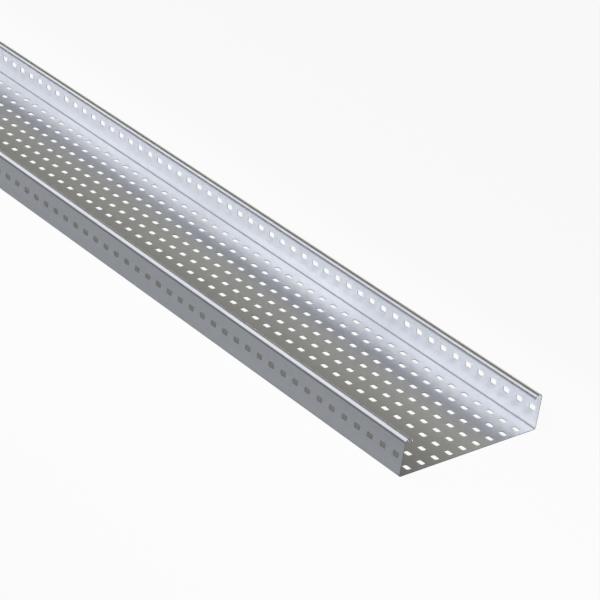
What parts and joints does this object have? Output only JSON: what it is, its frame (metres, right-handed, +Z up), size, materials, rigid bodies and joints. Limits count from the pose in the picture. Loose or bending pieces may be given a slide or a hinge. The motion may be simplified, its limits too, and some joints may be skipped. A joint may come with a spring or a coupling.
{
  "type": "perforated cable tray",
  "caption": "Straight length of perforated cable tray: a folded galvanised steel channel with a slotted floor, slotted walls and inturned rolled lips, to carry cables.",
  "frame": {"origin": "middle of the underside, on the tray's centre line", "axes": "+X along the tray, +Y across it, +Z up through the open top"},
  "size_m": [2, 0.25, 0.056],
  "materials": {
    "galvanised_steel": "continuously galvanised sheet, satin zinc with faint cloudy variation"
  },
  "bodies": {
    "root": {"tray": "galvanised_steel"}
  },
  "joints": []
}
